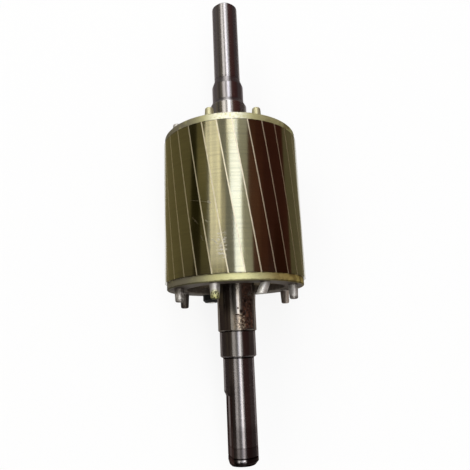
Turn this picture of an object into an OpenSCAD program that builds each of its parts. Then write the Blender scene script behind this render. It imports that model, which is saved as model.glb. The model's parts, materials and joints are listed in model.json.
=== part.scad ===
// Squirrel-cage motor rotor of a compressor, on its stepped shaft.
// Millimetres, +Z up. The rotor lies on the floor on its core, with its axis along Y.
// The drive end, with the flat, points to -Y and the tail end points to +Y.
// Angles round the axis are counted from +Z towards +X.

/* [Core] */
// Outside diameter of the laminated core
core_d = 100; // [90:1:120]
// Length of the laminated core
core_len = 103; // [80:1:140]

/* [Cage bars] */
// Width of a bar's neck, the line that shows on the core
bar_neck_w = 0.8; // [0.5:0.1:1.5]
// Diameter of a bar's round body, below the core's surface
bar_body_d = 6; // [4:0.1:6.4]
// Depth of steel between the core's surface and a bar's body
bar_cover = 3; // [2:0.1:5]
// Turn of a bar round the axis from one end of the core to the other
bar_skew = 16.8; // [4:0.1:20]
// Place of the first bar at mid-length, round the axis
bar_turn = -1.2; // [-6:0.1:6]

/* [End rings] */
// Height of the drive end ring, along the axis
ring_h = 4.8; // [3:0.1:9]
// Height of the tail end ring
tail_ring_h = 5.3; // [3:0.1:9]
// Step from the core's surface in to the drive ring's outside
ring_inset = 1.35; // [0.5:0.05:3]
// Step from the core's surface in to the tail ring's outside
tail_ring_inset = 0.85; // [0.5:0.05:3]
// Bore of an end ring
ring_bore_d = 70; // [56:0.5:74]
// Bevel of the ring's outer edges
ring_bevel = 0.5; // [0.2:0.05:1]

/* [Balance pegs] */
// Diameter of a peg at its root
peg_d = 6.8; // [4.5:0.1:7.5]
// Diameter of a peg at its tip
peg_tip_d = 5.8; // [4:0.1:7]
// Length of a drive end peg beyond its ring
peg_len = 11; // [7:0.5:15]
// Length of a tail end peg beyond its ring
tail_peg_len = 8; // [5:0.5:15]
// Rounding of a peg's tip
peg_round = 1.2; // [0.4:0.1:1.8]
// Distance of the peg circle in from the core's surface
peg_inset = 8.2; // [6.5:0.05:9.5]
// Length of the bent peg on the drive end
bent_peg_len = 7.5; // [5:0.1:11]
// Lean of the bent peg
bent_peg_lean = 25; // [0:1:30]
// Diameter of the bent peg at its battered tip
bent_peg_tip_d = 6.7; // [5:0.1:8]

/* [Balance washer] */
// Outside diameter of the washer
washer_d = 13.2; // [9:0.1:15]
// Thickness of the washer
washer_t = 5.7; // [2:0.1:6.5]
// Bevel of the washer's free edge
washer_bevel = 1.6; // [0.3:0.1:1.8]
// Clearance of the washer round its peg
washer_gap = 0.05; // [0.02:0.01:0.2]

/* [Tail end of the shaft] */
// Diameter of the tail end
tail_end_d = 20; // [16:0.1:22.5]
// Length of the tail end
tail_end_len = 67.1; // [40:0.5:100]
// Bevel of the tail end's edge
tail_bevel = 1.9; // [0.4:0.1:2.5]
// Length of the taper from the tail end to the tail seat
tail_taper_len = 5.5; // [1:0.1:9]
// Diameter of the tail seat
tail_seat_d = 24; // [22.8:0.1:26.5]
// Length of the tail seat
tail_seat_len = 13.2; // [8:0.1:30]
// Length of the taper from the tail seat to the core seat
seat_taper_len = 3.8; // [0.5:0.1:6]
// Diameter of the core seat, which the core is pressed on
core_seat_d = 28; // [27.6:0.1:36]
// Length of the core seat that shows on the tail side of the core
tail_shoulder_len = 33.4; // [20:0.1:50]

/* [Drive end of the shaft] */
// Diameter of the shoulder on the drive side of the core
drive_shoulder_d = 27; // [26.4:0.1:27.5]
// Length of the drive shoulder
drive_shoulder_len = 34.2; // [20:0.1:50]
// Diameter of the bearing seat
bearing_seat_d = 25; // [22.8:0.1:25.2]
// Length of the bearing seat
bearing_seat_len = 17.6; // [12:0.1:30]
// Bevel of the drive shoulder's edge
step_bevel = 0.5; // [0.2:0.05:0.8]
// Bevel of the bearing seat's edge
seat_bevel = 0.9; // [0.2:0.05:1]
// Diameter of the drive end
drive_end_d = 21.5; // [18:0.1:22.4]
// Length of the drive end
drive_end_len = 68.5; // [56:0.1:100]
// Length of the bevel at the drive end, along the axis
drive_bevel_len = 2.3; // [1:0.1:3.5]
// Depth of that bevel
drive_bevel = 2.2; // [0.8:0.1:3.2]
// Distance of the ring groove from the drive end
groove_from_end = 4.7; // [4.2:0.1:9]
// Width of the ring groove
groove_w = 0.7; // [0.4:0.1:1]
// Depth of the ring groove
groove_depth = 0.35; // [0.2:0.05:0.6]
// Length of the flat, with its run-out
flat_len = 47.2; // [30:0.1:52]
// Depth of the flat
flat_depth = 2.8; // [1:0.1:3]
// Length of the flat's run-out
flat_runout = 4; // [1:0.1:6]
// Place of the flat, round the axis
flat_turn = -74; // [-90:1:-60]
// Diameter of the turning centres in the shaft's end faces
centre_d = 5; // [3:0.1:7]

/* [Hidden] */
$fn = 96;
bar_count = 30;
bar_pitch = 360 / bar_count;
// Places of the pegs round the axis, the same on both rings
peg_turns = [-113.4, -66.4, -18.4, 27.5, 70.9, 118, 163, -152.3];
// What each drive end peg is shorter than the longest one
peg_trim = [0.1, 1.8, 0.9, 0, 1.2, 1, 0.4, 0];
bent_peg = 3;
washer_peg = 7;
// Length of each tail end peg as a part of the usual one: two were made to balance the rotor
tail_peg_part = [0.57, 1, 1, 1, 1, 1.3, 1, 1];
// The tail ring has no peg at this place
tail_gap = 4;
cut = 1;
core_r = core_d / 2;
axis_z = core_r;
tail_total = tail_end_len + tail_taper_len + tail_seat_len + seat_taper_len + tail_shoulder_len;
drive_total = drive_shoulder_len + bearing_seat_len + drive_end_len;
y_tail = (tail_total + core_len + drive_total) / 2;
y_tail_taper = y_tail - tail_end_len;
y_tail_seat = y_tail_taper - tail_taper_len;
y_seat_taper = y_tail_seat - tail_seat_len;
y_core_seat = y_seat_taper - seat_taper_len;
y_core_tail = y_core_seat - tail_shoulder_len;
y_core_drive = y_core_tail - core_len;
y_core_mid = (y_core_tail + y_core_drive) / 2;
y_bearing = y_core_drive - drive_shoulder_len;
y_drive_end = y_bearing - bearing_seat_len;
y_drive = y_drive_end - drive_end_len;
bar_body_r = min(bar_body_d, (core_d - 2 * bar_cover) * sin(bar_pitch / 2) * 0.7) / 2;
bar_body_at = core_r - bar_cover - bar_body_r;
bar_lean = atan(core_d * tan(bar_skew / 2) / core_len);
bar_run = core_len / cos(bar_lean) + core_d / 4;
peg_at = core_r - peg_inset;
drive_r = drive_end_d / 2;
groove_y = y_drive + groove_from_end;

// Solid of revolution about the rotor's axis, from points of radius and place along Y
module turned(points) {
  translate([0, 0, axis_z])
    rotate([-90, 0, 0])
      rotate_extrude()
        polygon(points);
}

// Children drawn at +Z of the axis, then turned round it by an angle
module round_axis(angle) {
  translate([0, 0, axis_z])
    rotate([0, angle, 0])
      children();
}

module flat_cutter() {
  h = drive_r - flat_depth;
  y_full = y_drive + flat_len - flat_runout;
  y_end = y_drive + flat_len;
  rotate([90, 0, 90])
    linear_extrude(height = drive_end_d + 2 * cut, center = true)
      polygon([
        [y_drive - cut, h],
        [y_full, h],
        [y_end, drive_r],
        [y_end, drive_r + cut],
        [y_drive - cut, drive_r + cut]
      ]);
}

// Cone of 60 degrees in a shaft end
module turning_centre(y, way) {
  depth = 0.8 * centre_d;
  translate([0, y, axis_z])
    rotate([way * 90, 0, 0])
      translate([0, 0, -cut])
        cylinder(
          h = cut + depth,
          d1 = centre_d + 2 * cut * tan(30),
          d2 = centre_d - 2 * depth * tan(30)
        );
}

module shaft_blank() {
  turned([
    [0, y_tail],
    [tail_end_d / 2 - tail_bevel, y_tail],
    [tail_end_d / 2, y_tail - tail_bevel],
    [tail_end_d / 2, y_tail_taper],
    [tail_seat_d / 2, y_tail_seat],
    [tail_seat_d / 2, y_seat_taper],
    [core_seat_d / 2, y_core_seat],
    [core_seat_d / 2, y_core_drive],
    [drive_shoulder_d / 2, y_core_drive],
    [drive_shoulder_d / 2, y_bearing + step_bevel],
    [drive_shoulder_d / 2 - step_bevel, y_bearing],
    [bearing_seat_d / 2, y_bearing],
    [bearing_seat_d / 2, y_drive_end + seat_bevel],
    [bearing_seat_d / 2 - seat_bevel, y_drive_end],
    [drive_r, y_drive_end],
    [drive_r, groove_y + groove_w],
    [drive_r - groove_depth, groove_y + groove_w],
    [drive_r - groove_depth, groove_y],
    [drive_r, groove_y],
    [drive_r, y_drive + drive_bevel_len],
    [drive_r - drive_bevel, y_drive],
    [0, y_drive]
  ]);
}

// Stepped shaft, with the flat on its drive end
module shaft() {
  color([0.36, 0.33, 0.31])
    difference() {
      shaft_blank();
      round_axis(flat_turn) flat_cutter();
      turning_centre(y_tail, 1);
      turning_centre(y_drive, -1);
    }
}

module core_blank() {
  translate([0, y_core_drive, axis_z])
    rotate([-90, 0, 0])
      cylinder(h = core_len, r = core_r);
}

// Room of one bar: a round body below the core's surface and a narrow neck out to it
module bar_room(i) {
  round_axis(bar_turn + i * bar_pitch)
    translate([0, y_core_mid, 0])
      rotate([0, 0, bar_lean])
        union() {
          translate([0, -bar_run / 2, bar_body_at])
            rotate([-90, 0, 0])
              cylinder(h = bar_run, r = bar_body_r);
          translate([-bar_neck_w / 2, -bar_run / 2, bar_body_at])
            cube([bar_neck_w, bar_run, core_r - bar_body_at + cut]);
        }
}

// Stack of steel sheets, with skewed slots for the bars
module rotor_core() {
  color([0.62, 0.56, 0.34])
    difference() {
      core_blank();
      translate([0, y_core_drive - cut, axis_z])
        rotate([-90, 0, 0])
          cylinder(h = core_len + 2 * cut, d = core_seat_d);
      for (i = [0 : bar_count - 1]) bar_room(i);
    }
}

// One cast bar of the cage, flush with the core's surface
module rotor_bar(i) {
  color([0.80, 0.80, 0.74])
    intersection() {
      core_blank();
      bar_room(i);
    }
}

// Ring from the core's end face out to a height, with its bore
module ring_body(y, way, h, inset) {
  r = core_r - inset;
  turned([
    [ring_bore_d / 2, y],
    [r, y],
    [r, y + way * (h - ring_bevel)],
    [r - ring_bevel, y + way * h],
    [ring_bore_d / 2 + ring_bevel, y + way * h],
    [ring_bore_d / 2, y + way * (h - ring_bevel)]
  ]);
}

// Straight peg with a little draft and a rounded tip
module peg(y, way, len) {
  tip_r = peg_tip_d / 2;
  translate([0, y, peg_at])
    rotate([way * -90, 0, 0])
      rotate_extrude()
        polygon([
          [0, -ring_h / 2],
          [peg_d / 2, -ring_h / 2],
          [peg_d / 2, 0],
          [tip_r, len - peg_round],
          [tip_r - 0.13 * peg_round, len - 0.5 * peg_round],
          [tip_r - 0.5 * peg_round, len - 0.13 * peg_round],
          [tip_r - peg_round, len],
          [0, len]
        ]);
}

// Short peg that has been knocked over to one side, with its tip cut level
module leaning_peg(y) {
  intersection() {
    translate([0, y, peg_at])
      rotate([0, 0, -bent_peg_lean])
        translate([0, ring_h, 0])
          rotate([90, 0, 0])
            cylinder(h = ring_h + 2 * bent_peg_len, d1 = peg_d - 1, d2 = 2 * bent_peg_tip_d - peg_d);
    translate([-3 * peg_d, y - bent_peg_len, peg_at - peg_d])
      cube([6 * peg_d, bent_peg_len + ring_h / 2, 2 * peg_d]);
  }
}

// End ring of the cage on the drive side, cast with its eight pegs
module drive_end_ring() {
  y = y_core_drive - ring_h;
  color([0.78, 0.76, 0.62])
    union() {
      ring_body(y_core_drive, -1, ring_h, ring_inset);
      for (i = [0 : len(peg_turns) - 1])
        round_axis(peg_turns[i])
          if (i == bent_peg) leaning_peg(y);
          else peg(y, -1, i == washer_peg ? washer_t + 0.4 : peg_len - peg_trim[i]);
    }
}

// End ring of the cage on the tail side, cast with its seven pegs
module tail_end_ring() {
  color([0.78, 0.76, 0.62])
    union() {
      ring_body(y_core_tail, 1, tail_ring_h, tail_ring_inset);
      for (i = [0 : len(peg_turns) - 1])
        if (i != tail_gap)
          round_axis(peg_turns[i])
            peg(y_core_tail + tail_ring_h, 1, tail_peg_len * tail_peg_part[i]);
    }
}

// Washer pushed on one peg to balance the rotor
module balance_washer() {
  r = washer_d / 2;
  hole = peg_d / 2 + washer_gap;
  color([0.06, 0.06, 0.06])
    round_axis(peg_turns[washer_peg])
      translate([0, y_core_drive - ring_h, peg_at])
        rotate([90, 0, 0])
          rotate_extrude()
            polygon([
              [hole, 0],
              [r, 0],
              [r, washer_t - washer_bevel],
              [r - washer_bevel, washer_t],
              [hole, washer_t]
            ]);
}

module rotor_bar_01() { rotor_bar(0); }
module rotor_bar_02() { rotor_bar(1); }
module rotor_bar_03() { rotor_bar(2); }
module rotor_bar_04() { rotor_bar(3); }
module rotor_bar_05() { rotor_bar(4); }
module rotor_bar_06() { rotor_bar(5); }
module rotor_bar_07() { rotor_bar(6); }
module rotor_bar_08() { rotor_bar(7); }
module rotor_bar_09() { rotor_bar(8); }
module rotor_bar_10() { rotor_bar(9); }
module rotor_bar_11() { rotor_bar(10); }
module rotor_bar_12() { rotor_bar(11); }
module rotor_bar_13() { rotor_bar(12); }
module rotor_bar_14() { rotor_bar(13); }
module rotor_bar_15() { rotor_bar(14); }
module rotor_bar_16() { rotor_bar(15); }
module rotor_bar_17() { rotor_bar(16); }
module rotor_bar_18() { rotor_bar(17); }
module rotor_bar_19() { rotor_bar(18); }
module rotor_bar_20() { rotor_bar(19); }
module rotor_bar_21() { rotor_bar(20); }
module rotor_bar_22() { rotor_bar(21); }
module rotor_bar_23() { rotor_bar(22); }
module rotor_bar_24() { rotor_bar(23); }
module rotor_bar_25() { rotor_bar(24); }
module rotor_bar_26() { rotor_bar(25); }
module rotor_bar_27() { rotor_bar(26); }
module rotor_bar_28() { rotor_bar(27); }
module rotor_bar_29() { rotor_bar(28); }
module rotor_bar_30() { rotor_bar(29); }

shaft();
rotor_core();
rotor_bar_01();
rotor_bar_02();
rotor_bar_03();
rotor_bar_04();
rotor_bar_05();
rotor_bar_06();
rotor_bar_07();
rotor_bar_08();
rotor_bar_09();
rotor_bar_10();
rotor_bar_11();
rotor_bar_12();
rotor_bar_13();
rotor_bar_14();
rotor_bar_15();
rotor_bar_16();
rotor_bar_17();
rotor_bar_18();
rotor_bar_19();
rotor_bar_20();
rotor_bar_21();
rotor_bar_22();
rotor_bar_23();
rotor_bar_24();
rotor_bar_25();
rotor_bar_26();
rotor_bar_27();
rotor_bar_28();
rotor_bar_29();
rotor_bar_30();
drive_end_ring();
tail_end_ring();
balance_washer();
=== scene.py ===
import json
import math

import bpy
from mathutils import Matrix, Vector


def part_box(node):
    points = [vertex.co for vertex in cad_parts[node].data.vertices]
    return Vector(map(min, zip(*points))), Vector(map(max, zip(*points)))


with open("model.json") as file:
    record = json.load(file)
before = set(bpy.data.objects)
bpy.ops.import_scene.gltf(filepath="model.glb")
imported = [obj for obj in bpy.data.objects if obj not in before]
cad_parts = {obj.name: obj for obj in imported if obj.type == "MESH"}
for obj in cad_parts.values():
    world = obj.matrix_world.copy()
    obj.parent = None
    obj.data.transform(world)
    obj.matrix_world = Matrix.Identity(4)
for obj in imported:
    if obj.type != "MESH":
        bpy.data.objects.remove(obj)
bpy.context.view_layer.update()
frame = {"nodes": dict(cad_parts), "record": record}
NODES = frame["nodes"]

# Places along the rotor's axis, in millimetres
CORE_DRIVE = 1000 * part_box("rotor_core")[0].y
CORE_TAIL = 1000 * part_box("rotor_core")[1].y
RING_DRIVE = CORE_DRIVE - 4.8
RING_TAIL = CORE_TAIL + 5.3
SHAFT_DRIVE = 1000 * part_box("shaft")[0].y
SHAFT_TAIL = 1000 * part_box("shaft")[1].y
SEAT_START = CORE_DRIVE - 34.2
SEAT_END = SEAT_START - 17.6
TAIL_SEAT_END = CORE_TAIL + 37.2
TAIL_END_START = SHAFT_TAIL - 67.1
TAIL_TAPER_START = TAIL_END_START - 5.5
FINISH_LINE = SHAFT_DRIVE + 11.45
GROOVE = SHAFT_DRIVE + 4.6

# Radii in millimetres, and the axis's height in metres
CORE_R = 50.0
RIM_R = 47.0
SHOULDER_R = 13.5
TAIL_SEAT_R = 12.0
DRIVE_R = 10.75
AXIS_Z = 0.050

# Turns round the axis that pegs of the drive ring lie between, in degrees
MIDDLE_PEG = (-29, -7)
LEFT_PEG = (-80, -54)
LEFT_FAR_PEG = (-123, -103)
RIGHT_FAR_PEG = (108, 128)

# Scratches on the core: two ends as mm round it and along the axis, and half the width in mm
SCRATCHES = [
    ((-27.4, -15.2), (-23.3, -19.5), 0.7), ((-29.1, -3.0), (-15.0, -6.4), 0.35),
    ((-15.6, -6.0), (-14.8, -7.0), 1.2), ((-18.0, -18.0), (-16.6, -19.2), 0.6),
    ((-21.5, -27.0), (-20.0, -31.0), 0.5), ((-13.5, -31.0), (-11.0, -33.5), 0.6),
]
# Dark specks on the drive shoulder: turn in degrees, place along the axis and radius in mm
SPECKS = [
    (26.5, -67.3, 1.3), (49.5, -66.5, 1.1), (44.2, -69.3, 1.2), (12.7, -74.1, 1.5),
    (21.4, -76.1, 1.5), (4.0, -72.0, 0.9), (33.0, -79.0, 1.2), (40.0, -83.0, 1.0),
]

COAT_ROUGH = 0.12
COAT_IOR = 1.75


# Helpers for node trees
class Tree:
    """Short calls for building the nodes of one material or world."""

    def __init__(self, owner):
        owner.use_nodes = True
        self.owner = owner
        self.nt = owner.node_tree
        self.nt.nodes.clear()

    def node(self, kind, **props):
        n = self.nt.nodes.new(kind)
        for k, v in props.items():
            setattr(n, k, v)
        return n

    def put(self, socket, value):
        if isinstance(value, bpy.types.NodeSocket):
            self.nt.links.new(value, socket)
        else:
            socket.default_value = value

    def math(self, op, a, b=0.0, clamp=False):
        n = self.node("ShaderNodeMath", operation=op, use_clamp=clamp)
        self.put(n.inputs[0], a)
        self.put(n.inputs[1], b)
        return n.outputs[0]

    def plus(self, a, b):
        return self.math("ADD", a, b)

    def minus(self, a, b):
        return self.math("SUBTRACT", a, b)

    def times(self, a, b):
        return self.math("MULTIPLY", a, b)

    def length(self, u, v):
        return self.math("SQRT", self.plus(self.times(u, u), self.times(v, v)))

    def rise(self, v, lo, hi, a=0.0, b=1.0):
        """Smooth step of v from a at lo to b at hi."""
        n = self.node("ShaderNodeMapRange", interpolation_type="SMOOTHSTEP")
        for s, x in zip(n.inputs, (v, lo, hi, a, b)):
            self.put(s, x)
        return n.outputs[0]

    def fall(self, v, lo, hi):
        """Smooth step of v from 1 at lo to 0 at hi."""
        return self.rise(v, lo, hi, 1.0, 0.0)

    def window(self, v, lo, hi, soft):
        """1 between lo and hi, with soft edges."""
        return self.times(self.rise(v, lo - soft, lo + soft), self.fall(v, hi - soft, hi + soft))

    def both(self, *masks):
        m = masks[0]
        for other in masks[1:]:
            m = self.times(m, other)
        return m

    def most(self, *masks):
        m = masks[0]
        for other in masks[1:]:
            m = self.math("MAXIMUM", m, other)
        return m

    def mix(self, fac, a, b):
        """Colour between a and b."""
        n = self.node("ShaderNodeMix", data_type="RGBA")
        self.put(n.inputs[0], fac)
        for s, v in ((n.inputs[6], a), (n.inputs[7], b)):
            self.put(s, (*v, 1) if isinstance(v, tuple) else v)
        return n.outputs[2]

    def tint(self, color, mask, share, tone):
        """Colour with a share of a tone in it where the mask is 1."""
        return self.mix(self.times(mask, share), color, tone)

    def blend(self, fac, a, b):
        """Number between a and b."""
        n = self.node("ShaderNodeMix", data_type="FLOAT")
        for s, v in zip(n.inputs[:1] + n.inputs[2:4], (fac, a, b)):
            self.put(s, v)
        return n.outputs[0]

    def vec(self, x, y, z=0.0):
        n = self.node("ShaderNodeCombineXYZ")
        for s, v in zip(n.inputs, (x, y, z)):
            self.put(s, v)
        return n.outputs[0]

    def noise(self, vector, scale=1.0, detail=4.0, rough=0.55):
        n = self.node("ShaderNodeTexNoise")
        self.put(n.inputs["Vector"], vector)
        n.inputs["Scale"].default_value = scale
        n.inputs["Detail"].default_value = detail
        n.inputs["Roughness"].default_value = rough
        return n.outputs["Fac"]

    def lines(self, across, along, scales, detail, rough=0.55):
        """Noise over two coordinates, each with a scale of its own."""
        place = self.vec(self.times(across, scales[0]), self.times(along, scales[1]))
        return self.noise(place, 1.0, detail, rough)

    def ragged(self, v, point, scale, detail, size):
        """v moved to and fro by noise, for ragged edges."""
        return self.plus(v, self.times(self.minus(self.noise(point, scale, detail), 0.5), size))

    def place(self):
        """Place on the rotor: point and y in mm, turn round the axis in degrees, and distance
        from the axis in mm."""
        mm = self.node("ShaderNodeVectorMath", operation="MULTIPLY_ADD")
        self.put(mm.inputs[0], self.node("ShaderNodeTexCoord").outputs["Object"])
        mm.inputs[1].default_value = (1000, 1000, 1000)
        mm.inputs[2].default_value = (0, 0, -1000 * AXIS_Z)
        xyz = self.node("ShaderNodeSeparateXYZ")
        self.put(xyz.inputs[0], mm.outputs[0])
        x, y, up = xyz.outputs
        turn = self.times(self.math("ARCTAN2", x, up), 180 / math.pi)
        return mm.outputs[0], y, turn, self.length(x, up)

    def lean(self):
        """Cosine between the surface's normal and the direction straight out from the axis."""
        xyz = self.node("ShaderNodeSeparateXYZ")
        self.put(xyz.inputs[0], self.place()[0])
        out = self.node("ShaderNodeVectorMath", operation="NORMALIZE")
        self.put(out.inputs[0], self.vec(xyz.outputs[0], 0.0, xyz.outputs[2]))
        dot = self.node("ShaderNodeVectorMath", operation="DOT_PRODUCT")
        self.put(dot.inputs[0], out.outputs[0])
        self.put(dot.inputs[1], self.node("ShaderNodeNewGeometry").outputs["Normal"])
        return dot.outputs["Value"]

    def spot(self, point, at, radius):
        """1 at a point in mm, fading to 0 at a radius."""
        d = self.node("ShaderNodeVectorMath", operation="DISTANCE")
        self.put(d.inputs[0], point)
        d.inputs[1].default_value = at
        return self.fall(d.outputs["Value"], 0.5 * radius, radius)

    def stroke(self, u, v, start, end, half):
        """1 along a line between two points of u and v, fading to 0 at half a width from it."""
        (a, b), (c, d) = start, end
        du, dv = c - a, d - b
        u, v = self.minus(u, a), self.minus(v, b)
        along = self.plus(self.times(u, du), self.times(v, dv))
        along = self.math("DIVIDE", along, du * du + dv * dv, clamp=True)
        u, v = self.minus(u, self.times(along, du)), self.minus(v, self.times(along, dv))
        return self.fall(self.length(u, v), 0.3 * half, half)

    def finish(self, shader, output="ShaderNodeOutputMaterial"):
        self.put(self.node(output).inputs["Surface"], shader)
        return self.owner


def new_tree(name):
    return Tree(bpy.data.materials.new(name))


def metal(t, color, rough, bump, depth, aniso=0.0, edge=None, coat=0.0, metallic=1.0, gloss=0.5):
    """Metal surface; aniso stretches its highlights along the rotor's axis, as turning marks do.
    depth is the bump's in mm, and edge its tint where it is seen aslant."""
    b = t.node("ShaderNodeBsdfPrincipled")
    t.put(b.inputs["Base Color"], color)
    t.put(b.inputs["Roughness"], rough)
    t.put(b.inputs["Metallic"], metallic)
    b.inputs["Specular IOR Level"].default_value = gloss
    if edge:
        b.inputs["Specular Tint"].default_value = (*edge, 1)
    if coat:
        b.inputs["Coat Weight"].default_value = coat
        b.inputs["Coat Roughness"].default_value = COAT_ROUGH
        b.inputs["Coat IOR"].default_value = COAT_IOR
    if aniso:
        b.inputs["Anisotropic"].default_value = aniso
        b.inputs["Anisotropic Rotation"].default_value = 0.25
        radial = t.node("ShaderNodeTangent", direction_type="RADIAL", axis="Y")
        t.put(b.inputs["Tangent"], radial.outputs[0])
    n = t.node("ShaderNodeBump")
    n.inputs["Strength"].default_value = 1.0
    n.inputs["Distance"].default_value = depth / 1000
    t.put(n.inputs["Height"], bump)
    t.put(b.inputs["Normal"], n.outputs[0])
    return t.finish(b.outputs[0])


def on_axis(turn, y, r):
    """Point in mm from the axis, at a turn in degrees."""
    a = math.radians(turn)
    return r * math.sin(a), y, r * math.cos(a)


# Materials
def core_material():
    t = new_tree("core_steel_look")
    point, y, turn, _ = t.place()
    round_mm = t.times(turn, math.pi / 180 * CORE_R)
    sheets = t.lines(round_mm, y, (0.03, 1.7), 2.0)
    streaks = t.lines(round_mm, y, (0.012, 0.35), 4.0)
    turned = t.lines(round_mm, y, (0.004, 0.62), 3.0)
    cloud = t.noise(point, 0.05, 5.0)
    color = t.mix(cloud, (0.185, 0.165, 0.075), (0.255, 0.235, 0.12))
    color = t.tint(color, t.rise(streaks, 0.4, 0.7), 0.5, (0.25, 0.23, 0.12))
    color = t.tint(color, t.rise(sheets, 0.5, 0.72), 0.25, (0.12, 0.10, 0.05))
    color = t.tint(color, t.rise(turned, 0.46, 0.66), 0.30, (0.11, 0.098, 0.045))
    # Scraped patch beside one bar, with dark burrs in it, and a few fine scratches
    scrape = t.lines(round_mm, y, (0.28, 0.75), 3.0, 0.7)
    scuff = t.both(t.window(turn, -11.5, -5.5, 2.0), t.window(y, -43, -27, 4),
                   t.rise(scrape, 0.49, 0.58))
    burr = t.both(t.window(turn, -9.6, -7.6, 0.8), t.window(y, -39, -33, 2),
                  t.fall(scrape, 0.42, 0.5))
    scratch = t.most(*[t.stroke(round_mm, y, *line) for line in SCRATCHES])
    scratch = t.both(scratch, t.rise(t.noise(point, 0.5, 3.0), 0.30, 0.55))
    color = t.tint(color, t.most(scuff, t.times(scratch, 0.5)), 0.62, (0.56, 0.53, 0.52))
    color = t.tint(color, burr, 0.8, (0.12, 0.10, 0.105))
    # Dark bands at both ends of the core, along the joints with the rings
    joints = t.most(t.fall(y, CORE_DRIVE + 0.1, CORE_DRIVE + 0.6),
                    t.rise(y, CORE_TAIL - 0.7, CORE_TAIL - 0.2))
    color = t.tint(color, joints, 0.8, (0.05, 0.04, 0.02))
    rough = t.blend(cloud, 0.145, 0.20)
    rough = t.blend(t.most(scuff, scratch), rough, 0.5)
    # The end sheets are bare steel, brown with oil
    ends = t.fall(t.lean(), 0.3, 0.7)
    oil_and_shade = t.rise(t.noise(point, 0.14, 5.0, 0.6), 0.36, 0.62)
    color = t.mix(ends, color, t.mix(oil_and_shade, (0.085, 0.066, 0.048), (0.25, 0.20, 0.14)))
    rough = t.blend(ends, rough, 0.5)
    return metal(t, color, rough, sheets, 0.012, aniso=0.88, edge=(0.7, 0.66, 0.5), coat=1.0)


def bar_material():
    t = new_tree("bar_aluminium_look")
    point = t.place()[0]
    cloud = t.noise(point, 0.35, 4.0)
    grain = t.noise(point, 2.5, 2.0)
    color = t.mix(cloud, (0.46, 0.41, 0.28), (0.84, 0.78, 0.60))
    return metal(t, color, t.blend(grain, 0.42, 0.6), grain, 0.02)


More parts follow.
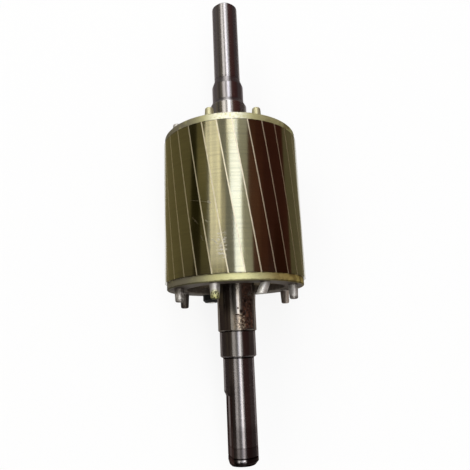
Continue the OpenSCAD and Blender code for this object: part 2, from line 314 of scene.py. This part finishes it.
def ring_material():
    t = new_tree("ring_aluminium_look")
    point, y, turn, out = t.place()
    cast = t.noise(point, 0.6, 6.0, 0.6)
    cloud = t.noise(point, 0.09, 4.0)
    blot = t.noise(point, 0.16, 5.0)
    ragged = t.ragged(y, point, 0.5, 4.0, 1.6)
    rim = t.rise(out, RIM_R, RIM_R + 1.0)
    inner = t.fall(out, RIM_R, RIM_R + 0.6)
    pegs = t.both(inner, t.fall(y, RING_DRIVE - 0.8, RING_DRIVE - 0.3))
    lacquer = t.mix(cloud, (0.54, 0.52, 0.25), (0.68, 0.66, 0.36))
    bare = t.mix(cloud, (0.52, 0.50, 0.46), (0.84, 0.81, 0.76))
    color = t.mix(rim, bare, lacquer)
    # The faces and bores are brown: painted shade, with some oil and dust
    face = t.both(t.fall(out, RIM_R + 0.6, RIM_R + 1.2),
                  t.window(y, RING_DRIVE - 0.3, RING_TAIL + 0.3, 0.3))
    grime_and_shade = t.rise(t.noise(point, 0.22, 5.0, 0.6), 0.25, 0.55)
    color = t.mix(t.both(face, t.blend(grime_and_shade, 0.75, 0.95)), color, (0.092, 0.068, 0.048))
    # The pegs have dark streaks, and painted shade at their roots at the drive end, all but the
    # middle one
    root_shade = t.both(inner, t.window(y, RING_DRIVE - 3.0, RING_DRIVE + 0.3, 1.2))
    root_shade = t.minus(root_shade, t.both(root_shade, t.window(turn, *MIDDLE_PEG, 3)))
    streak = t.noise(t.vec(t.times(turn, 0.55), t.times(y, 0.12), t.times(out, 0.5)), 1.0, 3.0)
    stain = t.both(inner, t.rise(streak, 0.48, 0.62))
    color = t.tint(color, t.most(root_shade, stain), 0.5, (0.10, 0.09, 0.08))
    # Deeper painted shade at the left peg's root
    color = t.tint(color, t.both(root_shade, t.window(turn, *LEFT_PEG, 3)), 0.7, (0.06, 0.05, 0.04))
    # Drive pegs' ends are darkened with painted shade, with ragged edges
    low_y = t.plus(y, t.times(t.noise(point, 0.45, 3.0), 5.0))
    tip_shade = t.both(pegs, t.fall(low_y, RING_DRIVE - 7.2, RING_DRIVE - 4.2))
    color = t.tint(color, tip_shade, 0.75, (0.07, 0.055, 0.045))
    # Painted shade on the right far peg's inner side and, near black, on the left far peg; the
    # left near peg is mottled
    right_far = t.both(pegs, t.window(turn, *RIGHT_FAR_PEG, 2))
    inner_shade = t.both(right_far, t.fall(out, 40.2, 41.6))
    color = t.tint(color, inner_shade, 0.85, (0.085, 0.060, 0.045))
    left_far = t.both(pegs, t.window(turn, *LEFT_FAR_PEG, 2))
    color = t.tint(color, left_far, 0.9, (0.045, 0.033, 0.026))
    mottled = t.both(pegs, t.window(turn, *LEFT_PEG, 3),
                     t.rise(t.noise(point, 0.55, 4.0), 0.40, 0.56))
    color = t.tint(color, mottled, 0.6, (0.12, 0.098, 0.080))
    # Painted highlight on the right far peg's outer side, and painted shade on one side of the
    # bent peg
    outer_highlight = t.both(right_far, t.rise(out, 40.4, 42.0))
    color = t.tint(color, outer_highlight, 0.7, (0.86, 0.75, 0.66))
    shade = t.both(pegs, t.spot(point, on_axis(33.5, RING_DRIVE - 2.0, 42.0), 4.2))
    color = t.tint(color, shade, 0.8, (0.07, 0.06, 0.04))
    # The rims are grey with dirt on the left, and amber with rust on the right
    film_and_shade = t.both(rim, t.window(turn, -160, -26, 18), t.rise(blot, 0.20, 0.42))
    color = t.tint(color, film_and_shade, 0.85, (0.26, 0.235, 0.20))
    amber = t.both(rim, t.window(turn, 28, 150, 14), t.fall(y, CORE_TAIL - 5, CORE_TAIL))
    color = t.tint(color, amber, 0.75, (0.66, 0.50, 0.15))
    rust = t.both(rim, t.window(turn, 34, 150, 12), t.rise(blot, 0.44, 0.60))
    color = t.tint(color, rust, 0.6, (0.17, 0.095, 0.025))
    # Patchy painted highlight on the tail ring's top, with nicks along its outer edge
    top_highlight = t.both(rim, t.window(turn, -15, 13, 8), t.rise(y, CORE_TAIL + 0.2, CORE_TAIL + 0.8),
                  t.rise(cast, 0.35, 0.5))
    color = t.tint(color, top_highlight, 0.7, (0.86, 0.85, 0.76))
    nicks = t.both(rim, t.rise(ragged, RING_TAIL - 0.9, RING_TAIL - 0.4),
                   t.rise(t.noise(point, 0.8, 3.0), 0.5, 0.6))
    color = t.tint(color, nicks, 0.7, (0.20, 0.17, 0.10))
    # Painted shade along the joints with the core, and a dark band along the drive ring's outer
    # lip
    joint_shade = t.most(t.window(ragged, CORE_DRIVE - 0.15, CORE_DRIVE + 0.3, 0.2),
                  t.window(ragged, CORE_TAIL - 0.3, CORE_TAIL + 0.5, 0.2))
    lip = t.both(rim, t.window(ragged, RING_DRIVE - 0.6, RING_DRIVE + 0.8, 0.25))
    color = t.tint(color, t.most(joint_shade, lip), 0.7, (0.07, 0.06, 0.025))
    pits = t.rise(t.noise(point, 1.4, 3.0), 0.60, 0.72)
    color = t.tint(color, pits, 0.5, (0.12, 0.11, 0.08))
    # Painted highlight on the bent peg, and drips of lacquer on the middle peg and two tail pegs
    peg_highlight = t.spot(point, on_axis(22.0, RING_DRIVE - 3.0, 41.0), 7.5)
    peg_highlight = t.both(pegs, peg_highlight, t.rise(cast, 0.3, 0.5))
    color = t.tint(color, peg_highlight, 0.7, (0.88, 0.86, 0.79))
    drip = t.spot(point, on_axis(-17.4, RING_DRIVE - 8.3, 43.9), 4.9)
    color = t.tint(color, drip, 0.65, (0.62, 0.62, 0.22))
    tail_drip = t.most(*[t.spot(point, on_axis(a, RING_TAIL + 4.5, 43.0), 6.5)
                         for a in (-18.4, 27.5)])
    color = t.tint(color, tail_drip, 0.6, (0.62, 0.58, 0.24))
    # Black bits in the middle peg's drip, and painted shade at its tip
    black_bits_and_tip_shade = t.most(t.rise(t.noise(point, 0.9, 3.0), 0.54, 0.60),
                  t.fall(low_y, RING_DRIVE - 7.6, RING_DRIVE - 6.6))
    color = t.mix(t.both(drip, black_bits_and_tip_shade), color, (0.02, 0.02, 0.012))
    return metal(t, color, t.blend(cast, 0.42, 0.58), cast, 0.10, metallic=0.75,
                 edge=(0.25, 0.24, 0.22))


def shaft_material():
    t = new_tree("shaft_steel_look")
    point, y, turn, out = t.place()
    lines = t.lines(turn, y, (0.01, 2.2), 2.0)
    streaks = t.lines(turn, y, (0.02, 0.5), 4.0)
    cloud = t.noise(point, 0.12, 5.0)
    color = t.mix(cloud, (0.22, 0.202, 0.203), (0.31, 0.289, 0.289))
    color = t.tint(color, t.rise(streaks, 0.45, 0.75), 0.5, (0.36, 0.339, 0.335))
    rough = t.blend(cloud, 0.24, 0.30)
    # The ground seats are duller than the ends, and the drive shoulder is smoother
    drive_seat = t.window(y, SEAT_END, SEAT_START, 0.3)
    tail_seat = t.window(y, TAIL_SEAT_END, TAIL_TAPER_START, 0.3)
    tail_end = t.rise(y, TAIL_END_START, TAIL_END_START + 3)
    tail_shoulder = t.window(y, CORE_TAIL, TAIL_SEAT_END - 3, 0.8)
    shoulder = t.window(y, SEAT_START, CORE_DRIVE, 0.3)
    tapers = t.most(t.window(y, TAIL_TAPER_START, TAIL_END_START, 0.3),
                    t.window(y, TAIL_SEAT_END - 3.8, TAIL_SEAT_END, 0.3))
    color = t.tint(color, tail_seat, 0.6, (0.38, 0.352, 0.362))
    color = t.tint(color, drive_seat, 0.6, (0.22, 0.206, 0.195))
    color = t.tint(color, tail_end, 0.5, (0.42, 0.40, 0.395))
    color = t.tint(color, tail_shoulder, 0.7, (0.50, 0.475, 0.45))
    color = t.tint(color, shoulder, 0.7, (0.215, 0.192, 0.155))
    rough = t.blend(shoulder, rough, 0.16)
    rough = t.blend(t.times(t.most(drive_seat, tail_seat), 0.6), rough, 0.32)
    rough = t.blend(tapers, rough, 0.30)
    # Rust on the drive shoulder
    blot = t.noise(point, 0.28, 5.0, 0.65)
    rust = t.both(t.window(turn, 14, 56, 7), t.window(y, SEAT_START + 1.0, CORE_DRIVE, 1.0),
                  t.rise(blot, 0.30, 0.46))
    crust = t.rise(t.noise(point, 0.75, 4.0, 0.65), 0.46, 0.60)
    flakes = t.mix(t.rise(y, SEAT_START + 9, SEAT_START + 20),
                   (0.13, 0.045, 0.020), (0.075, 0.027, 0.013))
    color = t.tint(color, rust, 0.9, t.mix(crust, (0.035, 0.012, 0.007), flakes))
    rough = t.blend(rust, rough, 0.45)
    dull = t.both(rust, t.blend(crust, 0.3, 0.75))
    # Painted shade to the left of the rust, and a worn patch with specks and a scar below it
    oil_and_shade = t.both(t.window(turn, -42, -3, 2), t.window(y, SEAT_START + 13, CORE_DRIVE, 5))
    color = t.tint(color, oil_and_shade, 0.75, (0.03, 0.026, 0.024))
    worn = t.both(t.window(turn, -9, 24, 3), t.window(y, SEAT_START + 0.8, SEAT_START + 11, 1.2))
    mottle = t.noise(point, 1.1, 3.0, 0.6)
    worn_bright = t.both(worn, t.rise(mottle, 0.48, 0.56))
    worn_dark = t.both(worn, t.fall(mottle, 0.42, 0.50))
    color = t.tint(color, worn_bright, 0.75, (0.56, 0.45, 0.32))
    color = t.tint(color, worn_dark, 0.65, (0.08, 0.037, 0.018))
    rough = t.blend(worn, rough, 0.45)
    specks = t.most(*[t.spot(point, on_axis(a, p, SHOULDER_R), r) for a, p, r in SPECKS])
    scar = t.both(t.window(turn, -5, 8, 2), t.window(y, -76.9, -76.0, 0.25))
    color = t.tint(color, t.most(specks, scar), 0.9, (0.02, 0.010, 0.007))
    # Rust specks by the tail seat, and two bright dings
    tail_specks = t.both(t.window(turn, 22, 58, 8), t.window(y, CORE_TAIL + 20, TAIL_SEAT_END, 3),
                         t.rise(t.noise(point, 1.3, 2.0), 0.58, 0.66))
    color = t.tint(color, tail_specks, 0.7, (0.10, 0.035, 0.02))
    dings = t.most(t.spot(point, on_axis(23.6, 89.9, TAIL_SEAT_R), 0.9),
                   t.spot(point, on_axis(39.8, -122.8, DRIVE_R), 0.7))
    color = t.tint(color, dings, 0.8, (0.5, 0.48, 0.46))
    # Painted shade in the corners at the steps
    corners = t.most(t.window(y, SEAT_START - 0.7, SEAT_START + 0.1, 0.2),
                     t.window(y, SEAT_END - 0.9, SEAT_END + 0.2, 0.2),
                     t.window(y, CORE_DRIVE - 1.5, CORE_DRIVE + 3, 0.6))
    color = t.tint(color, corners, 0.85, (0.012, 0.010, 0.009))
    # Painted dark reflection on the flat and on a band beside it, and a darker tip from the
    # finish line on
    flat = t.both(t.fall(t.lean(), 0.94, 0.985),
                  t.window(y, SHAFT_DRIVE + 3, SHAFT_DRIVE + 48, 0.4))
    color = t.tint(color, flat, 0.92, (0.018, 0.014, 0.013))
    rough = t.blend(flat, rough, 0.45)
    film_and_shade = t.both(t.window(turn, -38, -19, 3),
                  t.window(y, SHAFT_DRIVE + 20, SHAFT_DRIVE + 52, 7))
    color = t.tint(color, film_and_shade, 0.6, (0.055, 0.047, 0.045))
    drive_end = t.fall(y, SHAFT_DRIVE + 21.15, SHAFT_DRIVE + 27.15)
    color = t.tint(color, drive_end, 0.5, (0.10, 0.088, 0.088))
    tip = t.fall(y, FINISH_LINE - 0.5, FINISH_LINE + 0.5)
    color = t.tint(color, tip, 0.45, (0.08, 0.065, 0.065))
    color = t.tint(color, t.fall(y, GROOVE, GROOVE + 0.6), 0.6, (0.035, 0.027, 0.026))
    rough = t.blend(tip, rough, 0.36)
    # Finish line, groove, painted highlight on the lip and ragged black bevel at the drive end
    finish = t.window(y, FINISH_LINE - 0.3, FINISH_LINE + 0.2, 0.2)
    groove = t.window(y, GROOVE, GROOVE + 0.9, 0.2)
    ragged = t.ragged(y, point, 0.7, 3.0, 3.0)
    bevel = t.most(t.fall(ragged, SHAFT_DRIVE + 1.0, SHAFT_DRIVE + 1.4),
                   t.both(t.window(turn, -28, 16, 5),
                          t.fall(ragged, SHAFT_DRIVE + 3.0, SHAFT_DRIVE + 3.4)))
    bevel = t.both(bevel, t.rise(t.plus(out, t.noise(point, 0.9, 3.0)), 8.0, 9.0))
    lip = t.both(t.window(turn, -16, 12, 4), t.window(y, SHAFT_DRIVE + 2.8, GROOVE - 0.2, 0.3))
    color = t.tint(color, lip, 0.7, (0.55, 0.52, 0.52))
    black = t.most(t.times(finish, 0.5), groove, bevel)
    color = t.tint(color, black, 0.9, (0.012, 0.009, 0.009))
    return metal(t, color, rough, lines, 0.0015, aniso=1.0, edge=(0.35, 0.32, 0.31),
                 metallic=t.blend(dull, 1.0, 0.0))


def washer_material():
    t = new_tree("washer_steel_look")
    point = t.place()[0]
    cloud = t.noise(point, 0.5, 4.0)
    grain = t.noise(point, 2.5, 3.0)
    color = t.mix(cloud, (0.004, 0.004, 0.004), (0.014, 0.013, 0.012))
    return metal(t, color, t.blend(grain, 0.45, 0.65), grain, 0.05, metallic=0.0, gloss=0.15)


LOOKS = {
    "core_steel": core_material(),
    "ring_aluminium": ring_material(),
    "bar_aluminium": bar_material(),
    "shaft_steel": shaft_material(),
    "washer_steel": washer_material(),
}
for part in frame["record"]["subparts"]:
    obj = NODES[part["node"]]
    obj.data.materials.clear()
    obj.data.materials.append(LOOKS[part["material_slot"]])


# Floor, cards and light, in metres
BACKGROUND = (1.0, 1.0, 1.0)
WORLD_LIGHT = (0.50, 0.495, 0.48)
FLOOR_HALF = 6.0
# The floor's share of plain white: less near the rotor, so that its shadow shows, and all far off
SHADOW_NEAR, SHADOW_FAR = 0.5, 2.5
WHITE_NEAR, WHITE_FAR = 0.85, 1.0
# Where the long cards and lamps start and end along Y
STAGE_DRIVE = -3.0
STAGE_TAIL = 7.0


def quad(name, corners, mat):
    mesh = bpy.data.meshes.new(name)
    mesh.from_pydata([Vector(c) for c in corners], [], [(0, 1, 2, 3)])
    mesh.materials.append(mat)
    o = bpy.data.objects.new(name, mesh)
    bpy.context.scene.collection.objects.link(o)
    return o


def background_rays(t):
    """1 for the rays that show the background: from the camera, from gloss or through glass."""
    rays = t.node("ShaderNodeLightPath").outputs
    return t.most(rays["Is Camera Ray"], rays["Is Glossy Ray"], rays["Is Transmission Ray"])


def floor_material():
    t = new_tree("floor_look")
    place = t.node("ShaderNodeTexCoord").outputs["Object"]
    grain = t.noise(place, 40.0, 3.0)
    d = t.node("ShaderNodeBsdfDiffuse")
    t.put(d.inputs["Color"], t.mix(grain, (0.92, 0.92, 0.915), (0.94, 0.94, 0.94)))
    e = t.node("ShaderNodeEmission")
    e.inputs["Color"].default_value = (*BACKGROUND, 1)
    far = t.node("ShaderNodeVectorMath", operation="LENGTH")
    t.put(far.inputs[0], place)
    white = t.rise(far.outputs["Value"], SHADOW_NEAR, SHADOW_FAR, WHITE_NEAR, WHITE_FAR)
    m = t.node("ShaderNodeMixShader")
    t.put(m.inputs[0], t.times(background_rays(t), white))
    t.put(m.inputs[1], d.outputs[0])
    t.put(m.inputs[2], e.outputs[0])
    return t.finish(m.outputs[0])


def card_material(name, color):
    t = new_tree(name)
    e = t.node("ShaderNodeEmission")
    e.inputs["Color"].default_value = (*color, 1)
    return t.finish(e.outputs[0])


def around(angle, far):
    """x and z at an angle round the rotor's axis, counted from straight up towards +X."""
    a = math.radians(angle)
    return far * math.sin(a), AXIS_Z + far * math.cos(a)


def sheet(name, corners, color):
    """One card, which only reflections show."""
    o = quad(name, corners, card_material(name + "_look", color))
    o.visible_camera = o.visible_diffuse = o.visible_shadow = o.visible_transmission = False


def patch(name, angles, far, span, color, swing=0.0):
    """Card between two angles round the rotor's axis, at a distance from it and over a span
    along Y, swung round the vertical as a lamp is."""
    (x0, z0), (x1, z1) = around(angles[0], far), around(angles[1], far)
    lean = math.tan(math.radians(swing))
    y0, y1 = span
    sheet(name, [(x0 - y0 * lean, y0, z0), (x0 - y1 * lean, y1, z0),
                 (x1 - y1 * lean, y1, z1), (x1 - y0 * lean, y0, z1)], color)


def card(name, ends, colors, joints):
    """Three long cards in a row between two points of x and z, one each for the drive end, the
    core and the tail end. They meet at the joints along Y."""
    (x0, z0), (x1, z1) = ends
    places = (STAGE_DRIVE, *joints, STAGE_TAIL)
    for part, color, y0, y1 in zip(("drive", "core", "tail"), colors, places, places[1:]):
        sheet(name + "_" + part, [(x0, y0, z0), (x0, y1, z0), (x1, y1, z1), (x1, y0, z1)], color)


def lamp(name, angle, width, span, radiance, color, swing=0.0):
    """Lamp over the rotor at an angle round its axis and over a span along it, swung round the
    vertical."""
    x, z = around(angle, LAMP_FAR)
    start, stop = span
    data = bpy.data.lights.new(name, "AREA")
    data.shape = "RECTANGLE"
    data.size, data.size_y = width, stop - start
    data.energy = radiance * math.pi * data.size * data.size_y
    data.color = color
    o = bpy.data.objects.new(name, data)
    turn = math.radians(swing)
    o.rotation_euler = (0, math.radians(angle), turn)
    mid = (start + stop) / 2
    o.location = (x - mid * math.sin(turn), mid * math.cos(turn), z)
    bpy.context.scene.collection.objects.link(o)


quad("floor", [(-FLOOR_HALF, -FLOOR_HALF, 0), (FLOOR_HALF, -FLOOR_HALF, 0),
               (FLOOR_HALF, FLOOR_HALF, 0), (-FLOOR_HALF, FLOOR_HALF, 0)], floor_material())

# Far cards, with colours for the drive end, the core and the tail end
CARD_FAR = 0.9
FAR_JOINTS = (0.06, 0.62)
RIGHT = ((0.085, 0.048, 0.046), (0.085, 0.026, 0.020), (0.16, 0.09, 0.09))
LEFT_NEAR = ((0.13, 0.10, 0.095), (0.20, 0.18, 0.085), (0.28, 0.255, 0.26))
LEFT_DARK = ((0.10, 0.075, 0.07), (0.035, 0.030, 0.008), (0.26, 0.235, 0.24))
SIDES = ((0.09, 0.07, 0.066), (0.245, 0.21, 0.105), (0.24, 0.22, 0.22))
RIGHT_LOW = ((0.11, 0.085, 0.082), (0.20, 0.175, 0.105), (0.12, 0.095, 0.098))
for name, first, last, colors in (("card_right", 28, 97, RIGHT),
                                  ("card_left_near", -54, -38, LEFT_NEAR),
                                  ("card_left_dark", -68, -54, LEFT_DARK),
                                  ("card_left", -94, -68, SIDES)):
    card(name, (around(first, CARD_FAR), around(last, CARD_FAR)), colors, FAR_JOINTS)

# Nearer cards, which shade the core's sides from the streaks outwards
SHADE_FAR = 0.66
patch("card_right_near", (27, 42), SHADE_FAR, (0.03, 0.325), (0.19, 0.08, 0.05))
patch("card_right_mid", (42, 52), SHADE_FAR, (0.02, 0.28), (0.13, 0.045, 0.03))
patch("card_right_deep", (66, 88), SHADE_FAR, (-0.03, 0.125), (0.045, 0.012, 0.007))
patch("card_left_glow", (-52, -40), 0.88, (0.285, 0.40), (0.42, 0.36, 0.17))

# Cards just below the lamps: one dark, for the drive shoulder, and one bright, for the core
UNDER_LAMPS = 1.3
patch("card_gap", (-46, -12), UNDER_LAMPS, (0.0, 0.15), (0.10, 0.085, 0.08))
patch("card_core", (-17, -11), UNDER_LAMPS, (0.16, 0.42), (1.25, 1.15, 0.92))

# Upright cards far behind the tail, which carry the lamps' streaks on across the tapers
TAPER_FAR, TAPER_LOW = 2.8, 0.1
for side, x0, x1, top, color in (("top", -0.18, 0.31, 1.40, (2.4, 2.5, 2.6)),
                                 ("left", -1.16, -0.50, 1.2, (1.3, 1.3, 1.27))):
    sheet("card_taper_" + side, [(x0, TAPER_FAR, TAPER_LOW), (x1, TAPER_FAR, TAPER_LOW),
                                 (x1, TAPER_FAR, top), (x0, TAPER_FAR, top)], color)

# Low cards on the floor, which keep its white from the rotor's sides
SKIRT_X, SKIRT_TOP, SKIRT_JOINTS = 0.085, 0.075, (-0.056, 0.085)
HEM_X, HEM_TOP, HEM_JOINTS = 0.22, 0.09, (-0.03, 0.17)
for name, x, top, colors, joints in (("skirt_left", -SKIRT_X, SKIRT_TOP, SIDES, SKIRT_JOINTS),
                                     ("skirt_right", SKIRT_X, SKIRT_TOP, RIGHT_LOW, SKIRT_JOINTS),
                                     ("hem_left", -HEM_X, HEM_TOP, SIDES, HEM_JOINTS),
                                     ("hem_right", HEM_X, HEM_TOP, RIGHT, HEM_JOINTS)):
    card(name, ((x, 0.0), (x, top)), colors, joints)

# Lamp above, in four parts, which gives the main streak
LAMP_FAR = 1.4
LAMP_WHITE = (1.0, 0.99, 0.97)
LAMP_COOL = (0.85, 0.93, 1.2)
LAMP_WARM = (1.0, 0.95, 0.82)
LAMP_SOFT = (0.93, 0.92, 0.895)
TOP_WIDTH, TOP_RADIANCE, TOP_SWING = 0.36, 3.5, 9.65
for part, angle, span, color in (("drive", 9.0, (STAGE_DRIVE, 0.12), LAMP_SOFT),
                                 ("core", 9.0, (0.12, 0.46), LAMP_COOL),
                                 ("core_end", 11.0, (0.46, 0.70), LAMP_COOL),
                                 ("tail", 9.0, (0.70, STAGE_TAIL), LAMP_SOFT)):
    lamp("lamp_top_" + part, angle, TOP_WIDTH, span, TOP_RADIANCE, color, TOP_SWING)

# Lamps on the left, for the tail end, the core and the drive end, with bright lines on the core's
LEFT_SPAN, LEFT_SWING = (0.14, 0.82), 11.0
LINE_FAR, LINE_COLOR = 1.38, (3.0, 2.82, 2.4)
lamp("lamp_left", -25.5, 0.44, (LEFT_SPAN[1], STAGE_TAIL), 1.9, LAMP_WHITE)
lamp("lamp_left_core", -22.9, 0.50, LEFT_SPAN, 1.6, LAMP_WARM, LEFT_SWING)
for index, angles in ((1, (-33.4, -31.2)), (2, (-26.0, -24.0)), (3, (-17.0, -14.4))):
    patch("card_line_%d" % index, angles, LINE_FAR, LEFT_SPAN, LINE_COLOR, LEFT_SWING)
lamp("lamp_left_low", -31.0, 0.56, (STAGE_DRIVE, 0.02), 0.65, LAMP_WHITE)

# Grey card above the lamps, as far as the middle of the top one, and a lighter one to its right
OVER_Z, OVER_LEFT, OVER_RIGHT = 1.5, -1.13, 0.237
OVER_LEAN = 1.05 * math.tan(math.radians(TOP_SWING))
FLANK_START, FLANK_END, FLANK_RIGHT = 0.12, 0.82, 0.80


def over_edge(y):
    """Point on the line where the two cards above the lamps meet."""
    return OVER_RIGHT - y * OVER_LEAN, y, OVER_Z


sheet("card_over", [(OVER_LEFT, STAGE_DRIVE, OVER_Z), (OVER_LEFT, STAGE_TAIL, OVER_Z),
                    over_edge(STAGE_TAIL), over_edge(STAGE_DRIVE)], (0.42, 0.42, 0.41))
sheet("card_flank", [over_edge(FLANK_START), over_edge(FLANK_END),
                     (FLANK_RIGHT, FLANK_END, OVER_Z), (FLANK_RIGHT, FLANK_START, OVER_Z)],
      (0.64, 0.63, 0.58))


def set_world():
    world = bpy.data.worlds.new("world")
    bpy.context.scene.world = world
    t = Tree(world)
    back = t.node("ShaderNodeBackground")
    t.put(back.inputs["Color"], t.mix(background_rays(t), WORLD_LIGHT, BACKGROUND))
    t.finish(back.outputs[0], "ShaderNodeOutputWorld")


set_world()

# Camera at the photo's viewpoint: place in metres, turn in degrees, lens and sensor in mm
CAMERA_PLACE = (0.0, -0.09502, 0.38714)
CAMERA_TURN = (12.884, 0.348, -2.341)
CAMERA_LENS, CAMERA_SENSOR = 36.074, 36.0
cam_data = bpy.data.cameras.new("camera")
cam_data.sensor_width = CAMERA_SENSOR
cam_data.lens = CAMERA_LENS
cam_data.clip_start = 0.01
cam_data.clip_end = 50
cam = bpy.data.objects.new("camera", cam_data)
cam.location = CAMERA_PLACE
cam.rotation_euler = [math.radians(a) for a in CAMERA_TURN]
bpy.context.scene.collection.objects.link(cam)
bpy.context.scene.camera = cam

bpy.context.scene.view_settings.view_transform = "Standard"
